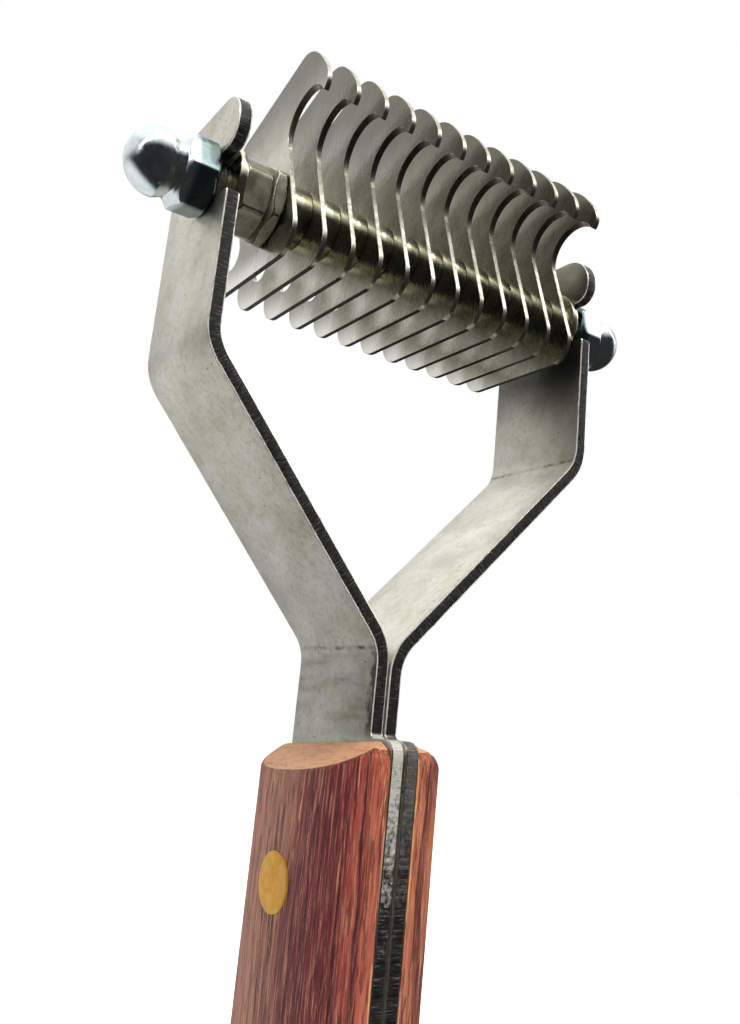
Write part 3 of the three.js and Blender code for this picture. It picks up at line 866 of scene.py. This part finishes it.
def blade_outline():
    """A blade as (y, z, grind) about the stud: grind is the share of the hook's ground bevel there.

    It is drawn in millimetres and given in metres.
    """
    lean = 18.8
    turn = math.radians(lean)
    along = Vector((math.sin(turn), math.cos(turn)))
    across = Vector((along.y, -along.x))
    chin = (-3.8, -4.6)
    chin_radius = 3
    finger = (11.3, -4.2)
    finger_radius = 3.4
    tip = (12.8, -2.3)
    tip_radius = 1.9
    notch = Vector((8.9, -2.65))
    notch_radius = 1.95
    throat = (-7.1, 7.75)
    throat_radius = 4.1
    hook_point = (-10.35, 10.35)
    hook_nose = (-9.3, 15)
    top_end = Vector((-4.4, 18))
    heel_radius = 3
    rear = notch - across * notch_radius
    heel = rear + along * ((top_end - rear).dot(along) - heel_radius) - across * heel_radius

    smooth = arc(chin, chin_radius, 180 - lean, 270)
    smooth += arc(finger, finger_radius, 270, 360)
    smooth += arc(tip, tip_radius, 0, 180)
    smooth += arc(notch, notch_radius, 0, -180 - lean)
    smooth += arc(heel, heel_radius, -lean, 90 - lean)
    smooth += curve(top_end, (-6.6, 18.4), hook_nose)
    smooth += curve(hook_nose, (-11.9, 11.7), hook_point, 12)
    ground = arc(throat, throat_radius, 135, -lean, 5)
    points = [(y * MM, z * MM, 0.0) for y, z in smooth]
    for i, (y, z) in enumerate(ground):
        share = i / (len(ground) - 1)
        points.append((y * MM, z * MM, min(1.0, 5 * share, 2.5 * (1 - share))))
    return without_repeats(points)


def outward_normals(points):
    """Unit normals of a counter-clockwise closed outline at its points."""
    normals = []
    for i in range(len(points)):
        before = points[i - 1]
        after = points[(i + 1) % len(points)]
        normals.append(Vector((after[1] - before[1], before[0] - after[0])).normalized())
    return normals


def share_out_edges(bm, outline, normals):
    """Materials of a blade's edges: a copy with painted light facing the front and in the bore, a copy
    with painted shade facing elsewhere, and the hook's bevel.

    The outline's faces come first, as skin makes them: three rows with one face for each point.
    """
    bright, dark, ground = range(1, 4)
    for face in bm.faces:
        face.material_index = bright
    bm.faces.ensure_lookup_table()
    count = len(outline)
    bevelled = [share > 0.05 for _, _, share in outline]
    for i in range(count):
        if bevelled[i] and bevelled[(i + 1) % count]:
            bm.faces[count + i].material_index = ground
        elif normals[i].x > -0.25:
            for row in range(3):
                bm.faces[row * count + i].material_index = dark


def build_blade(node, materials):
    """One blade: a thin plate with eased edges, and a bevel ground into the inside of its hook."""
    low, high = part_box(node)
    outline = blade_outline()
    normals = outward_normals(outline)
    half = (high.x - low.x) / 2
    middle = (low.x + high.x) / 2
    bore = arc((0, 0), BORE_RADIUS, 0, 345, 15)

    def loop(x, inset, grind):
        points = []
        for (y, z, share), normal in zip(outline, normals):
            shift = -(inset + grind * share)
            points.append((middle + x, AXLE_Y + y + normal.x * shift, AXLE_Z + z + normal.y * shift))
        return points

    bm = bmesh.new()
    rings = [
        loop(-half, BLADE_EDGE, GRIND_WIDTH),
        loop(-half + BLADE_EDGE, 0, GRIND_WIDTH),
        loop(half - BLADE_EDGE, 0, 0),
        loop(half, BLADE_EDGE, 0),
    ]
    loops = skin(bm, rings)
    holes = skin(bm, [[(middle + x, AXLE_Y + y, AXLE_Z + z) for y, z in bore] for x in (-half, half)])
    share_out_edges(bm, outline, normals)
    for side in (0, -1):
        edges = []
        for ring in (loops[side], holes[side]):
            edges += [bm.edges.get((ring[i - 1], ring[i])) for i in range(len(ring))]
        filled = bmesh.ops.triangle_fill(bm, use_beauty=True, edges=edges)
        for face in filled["geom"]:
            if isinstance(face, bmesh.types.BMFace):
                face.material_index = 0
    make_piece(node + "_plate", bm, "blade_pack", node, materials, 22)


def turned(bm, rows, steps=72, poles=False):
    """A solid turned about the stud. A row is (x, radius), or a function from angle to that.

    Without poles the last row joins the first, as round a bore. With poles the ends close.
    """
    rings = []
    for row in rows:
        ring = []
        for i in range(steps):
            angle = 2 * math.pi * i / steps
            x, radius = row(angle) if callable(row) else row
            ring.append((x, AXLE_Y + radius * math.sin(angle), AXLE_Z + radius * math.cos(angle)))
        rings.append(ring)
    loops = skin(bm, rings, closed=not poles)
    if poles:
        close_ends(bm, loops)


def hex_reach(angle, flats, turn):
    """Distance from a nut's axis to its side, with slightly worn corners."""
    sixth = math.radians(60)
    off_flat = (angle - math.radians(turn)) % sixth - sixth / 2
    corner = flats / math.sqrt(3) - CORNER_WEAR
    return min(flats / 2 / math.cos(off_flat), corner)


def chamfered_hex(start, end, flats, turn, rim=0.97, slope=0.75):
    """Rows of a hexagon whose two ends are turned to a chamfer.

    At turn 0 a flat faces the front, and it tips upwards as the turn grows, in degrees.
    """
    face = flats / 2 * rim
    inward = math.copysign(1, end - start)
    inset = 0.3 * MM  # extra rows just inside the flats' ends keep the shading of the flats flat

    def flat_end(origin, direction, extra):
        def row(angle):
            reach = hex_reach(angle, flats, turn)
            return origin + direction * ((reach - face) * slope + extra), reach

        return row

    near = [flat_end(start, inward, 0.0), flat_end(start, inward, inset)]
    far = [flat_end(end, -inward, inset), flat_end(end, -inward, 0.0)]
    return [(start, face), *near, *far, (end, face)]


def build_lock_nut(node, turn, materials):
    """A hexagon nut, drawn out to its right-hand neighbour, with rubbed edges round its flats."""
    low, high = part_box(node)
    start = low.x
    end = high.x + GAP - SEAT
    hexagon = chamfered_hex(start, end, high.y - low.y, turn, slope=0.45)
    bm = bmesh.new()
    turned(bm, [(start, SNUG_BORE), *hexagon, (end, SNUG_BORE)])
    for face in soften(bm, 0.12 * MM, 25):
        face.material_index = 1
    make_piece(node + "_hex", bm, "axle", node, materials, 40)


def build_cap_nut(side, node, turn, zinc):
    """Acorn nut: chamfered hexagon, short neck and a tall dome over a blind bore."""
    low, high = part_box(node)
    seat = high.x + GAP - SEAT if side < 0 else low.x - GAP + SEAT
    tip = low.x if side < 0 else high.x
    height = abs(tip - seat)

    def at(distance):
        return seat + side * distance

    neck = CAP_HEX_HEIGHT + GAP
    dome = height - CAP_DOME_RADIUS
    waist = neck + 0.3 * (dome - neck)
    rows = [(at(CAP_BORE_DEPTH), POLE), (at(CAP_BORE_DEPTH - CAP_BORE_TAPER), BORE_RADIUS - GAP)]
    rows.append((seat, SNUG_BORE))
    rows += chamfered_hex(seat, at(neck), NUT_FLATS, turn, rim=CAP_RIM)
    steps = 13
    for i in range(1, steps):
        distance = neck + (dome - neck) * i / steps
        if distance < waist:
            flare = (waist - distance) / (waist - neck)
            outer = CAP_RIM * NUT_FLATS / 2
        else:
            flare = (distance - waist) / (dome - waist)
            outer = CAP_DOME_RADIUS
        eased = flare * flare * (3 - 2 * flare)
        rows.append((at(distance), CAP_NECK_RADIUS + (outer - CAP_NECK_RADIUS) * eased))
    rows += [(at(dome + x), radius) for radius, x in arc((0, 0), CAP_DOME_RADIUS, 0, 89, 5)]
    bm = bmesh.new()
    turned(bm, rows, poles=True)
    soften(bm, 0.14 * MM, 28)
    body = "left_cap" if side < 0 else "right_cap"
    make_piece(node + "_acorn", bm, body, node, [zinc])


def build_tube(node, body, name, steel, grow_left=GAP - SEAT, edge=0.1 * MM, groove=None):
    """A plain tube or washer with eased rims, drawn out to touch its neighbours.

    groove is how far from its left end a fine line is turned into it, if there is one.
    """
    low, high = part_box(node)
    radius = (high.z - low.z) / 2
    start = low.x - grow_left
    end = high.x + GAP - SEAT
    # an eased rim: how far from the end, and how far below the side
    rim = [(0.0, edge), (0.3 * edge, 0.3 * edge), (edge, 0.0)]
    rows = [(start, SNUG_BORE)]
    rows += [(start + inward, radius - drop) for inward, drop in rim]
    if groove is not None:
        cut = start + groove
        rows += [(cut - 0.06 * MM, radius), (cut, radius - 0.1 * MM), (cut + 0.06 * MM, radius)]
    rows += [(end - inward, radius - drop) for inward, drop in reversed(rim)]
    rows.append((end, SNUG_BORE))
    bm = bmesh.new()
    turned(bm, rows)
    make_piece(name, bm, body, node, [steel], 35)


def build_stud(steel):
    """Threaded stud: the thread is cut where it can be seen, and plain under the blades."""
    radius = (stud_high.z - stud_low.z) / 2

    def thread_row(x):
        end_ease = min(1.0, (x - stud_low.x) / MM + 0.3, (stud_high.x - x) / MM + 0.3)

        def row(angle):
            phase = (x / THREAD_PITCH - angle / (2 * math.pi)) % 1
            crest = 1 - abs(2 * phase - 1)
            return x, radius - THREAD_DEPTH * (1 - end_ease) - 0.9 * THREAD_DEPTH * (1 - crest)

        return row

    rows_per_pitch = 10
    count = int(THREADED_LENGTH / THREAD_PITCH * rows_per_pitch)
    steps = [THREADED_LENGTH * i / count for i in range(count + 1)]
    rows = [(stud_low.x, POLE)]
    rows += [thread_row(stud_low.x + step) for step in steps]
    rows += [thread_row(stud_high.x - step) for step in reversed(steps)]
    rows.append((stud_high.x, POLE))
    bm = bmesh.new()
    turned(bm, rows, 40, poles=True)
    make_piece("threaded_stud", bm, "axle", "axle_stud", [steel], 40)


# ---------- stage ----------


def build_floor():
    """Plain pale floor under the tool. Gloss doesn't see it, so that the metals mirror the studio."""
    look = Look("floor_paper", Roughness=0.9, Emission_Color=(1, 1, 1, 1), Emission_Strength=0.3)
    grain = look.noise(look.place((0.05, 0.05, 0.05)))
    paper = look.finish(look.ramp(grain, (0.3, 246, 246, 245), (0.7, 250, 250, 249)))
    bm = bmesh.new()
    bmesh.ops.create_circle(bm, cap_ends=True, segments=96, radius=FLOOR_RADIUS)
    floor = make_object("floor", bm, [paper])
    floor.visible_glossy = False


def build_world():
    """Soft studio: bright overhead and behind, pale paper below the back, dark in front of the tool.

    The camera itself sees plain white.
    """
    world = bpy.data.worlds.new("studio")
    world.use_nodes = True
    scene.world = world
    world.node_tree.nodes.clear()
    studio = Graph(world.node_tree)
    direction = studio.add("TexCoord").outputs["Generated"]
    height = studio.axis(direction, "Z")
    depth = studio.axis(direction, "Y")

    behind = studio.remap(depth, -0.55, 0.35)
    wall = studio.times(behind, studio.remap(height, -0.1, 0.48))
    overhead = studio.remap(height, 0.4, 0.8, 0.03, 1.3)

    # a long lamp across the front of the ceiling, by how many degrees it stands above the front
    climb = studio.maths("ARCTAN2", height, studio.times(depth, -1.0))
    off_strip = studio.between(studio.times(climb, 180 / math.pi), 62.0)
    strip = studio.remap(off_strip, 3.0, 9.0, 3.4, 0.0)

    # the pale paper, full within 28 degrees of a direction below the back and gone 52 degrees off it
    azimuth, elevation = math.radians(-20), math.radians(-24)
    level = math.cos(elevation)
    toward = (math.sin(azimuth) * level, math.cos(azimuth) * level, math.sin(elevation))
    near = studio.add("VectorMath", {0: direction, 1: toward}, operation="DOT_PRODUCT")
    full, gone = math.cos(math.radians(28)), math.cos(math.radians(52))
    paper = studio.remap(near.outputs["Value"], gone, full, 0.0, 0.95)

    light = studio.maths("MAXIMUM", studio.maths("MAXIMUM", wall, overhead), paper)
    light = studio.plus(light, strip)
    room = studio.add("Background", {"Color": (1.0, 1.0, 0.985, 1.0), "Strength": light})
    white = studio.add("Background", {"Color": (1.0, 1.0, 1.0, 1.0), "Strength": 1.0})
    seen = studio.add("LightPath").outputs["Is Camera Ray"]
    choice = studio.add("MixShader", {0: seen, 1: room.outputs[0], 2: white.outputs[0]})
    studio.add("OutputWorld", {"Surface": choice.outputs[0]})


def add_softbox(name, direction, distance, size, power):
    """A square area light that faces the head of the tool. Gloss doesn't see it."""
    light = bpy.data.lights.new(name, "AREA")
    light.size = size
    light.energy = power
    lamp = bpy.data.objects.new(name, light)
    lamp.visible_glossy = False
    target = Vector((0, AXLE_Y, AXLE_Z))
    aim = Vector(direction).normalized()
    facing = aim.to_track_quat("Z", "Y").to_matrix().to_4x4()
    lamp.matrix_world = Matrix.Translation(target + aim * distance) @ facing
    scene.collection.objects.link(lamp)


def build_camera():
    """The camera of the photograph, aimed and placed from the middle of the stud."""
    forward = Vector((
        math.sin(LOOK_AZIMUTH) * math.cos(LOOK_ELEVATION),
        math.cos(LOOK_AZIMUTH) * math.cos(LOOK_ELEVATION),
        math.sin(LOOK_ELEVATION),
    ))
    level = Vector((math.cos(LOOK_AZIMUTH), -math.sin(LOOK_AZIMUTH), 0))
    right = level * math.cos(LOOK_ROLL) + level.cross(forward) * math.sin(LOOK_ROLL)
    up = right.cross(forward)
    stud_middle = Vector((0, AXLE_Y, AXLE_Z))
    eye = stud_middle - forward * STUD_AHEAD - right * STUD_TO_RIGHT - up * STUD_ABOVE
    data = bpy.data.cameras.new("camera")
    data.lens = LENS
    data.shift_y = LENS_DROP
    data.clip_start = 0.01
    camera = bpy.data.objects.new("camera", data)
    turn = Matrix((right, up, -forward)).transposed().to_4x4()
    camera.matrix_world = Matrix.Translation(eye) @ turn
    scene.collection.objects.link(camera)
    scene.camera = camera


# ---------- assembly ----------


def nodes_of(kind):
    """The CAD nodes whose names start with the kind, in order."""
    return sorted(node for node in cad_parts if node.startswith(kind + "_"))


def build_tool():
    wood = hardwood("hardwood", False)
    end_wood = hardwood("hardwood_end", True)
    build_scale(-1, "left_handle_scale", wood, end_wood)
    build_scale(1, "right_handle_scale", wood, end_wood)
    brass = rivet_brass()
    for node in ("lower_rivet", "upper_rivet"):
        build_rivet(node, brass)

    strap_materials = [strap_face(), strap_rim(), strap_corner()]
    build_arm(-1, "left_arm", strap_materials)
    build_arm(1, "right_arm", strap_materials)

    blade_materials = [
        blade_face(),
        # cut edges that face the front have painted light, the other cut edges painted shade
        blade_rim("blade_edge_painted_light", rgb(150, 145, 130), rgb(212, 209, 197), 0.3),
        blade_rim("blade_edge_painted_shade", rgb(34, 32, 28), rgb(72, 69, 62), 0.4),
        blade_rim("blade_ground_edge", rgb(104, 94, 88), rgb(156, 146, 134), 0.34),
    ]
    steel = turned_steel()
    for node in nodes_of("blade"):
        build_blade(node, blade_materials)
    for node in nodes_of("spacer"):
        groove = 0.8 * MM if node == "spacer_01" else None
        build_tube(node, "blade_pack", node + "_tube", steel, groove=groove)
    build_tube("end_spacer", "blade_pack", "end_spacer_tube", steel)
    build_tube("left_washer", "axle", "left_flat_washer", steel, edge=0.15 * MM)
    build_tube("right_washer", "axle", "right_flat_washer", steel, grow_left=0, edge=0.15 * MM)

    dull = nut_steel()
    nut_materials = [dull, nut_corner()]
    build_lock_nut("outer_lock_nut", -13, nut_materials)
    build_lock_nut("inner_lock_nut", -4, nut_materials)
    build_stud(dull)
    zinc = zinc_plate()
    build_cap_nut(-1, "left_cap_nut", 17, zinc)
    build_cap_nut(1, "right_cap_nut", 12, zinc)


build_tool()
build_floor()
build_world()
add_softbox("key", (0.55, -0.6, 0.65), 0.5, 0.3, 2.1)
add_softbox("fill", (-0.8, 0.1, 0.6), 0.5, 0.4, 0.6)
build_camera()
scene.view_settings.view_transform = "Standard"
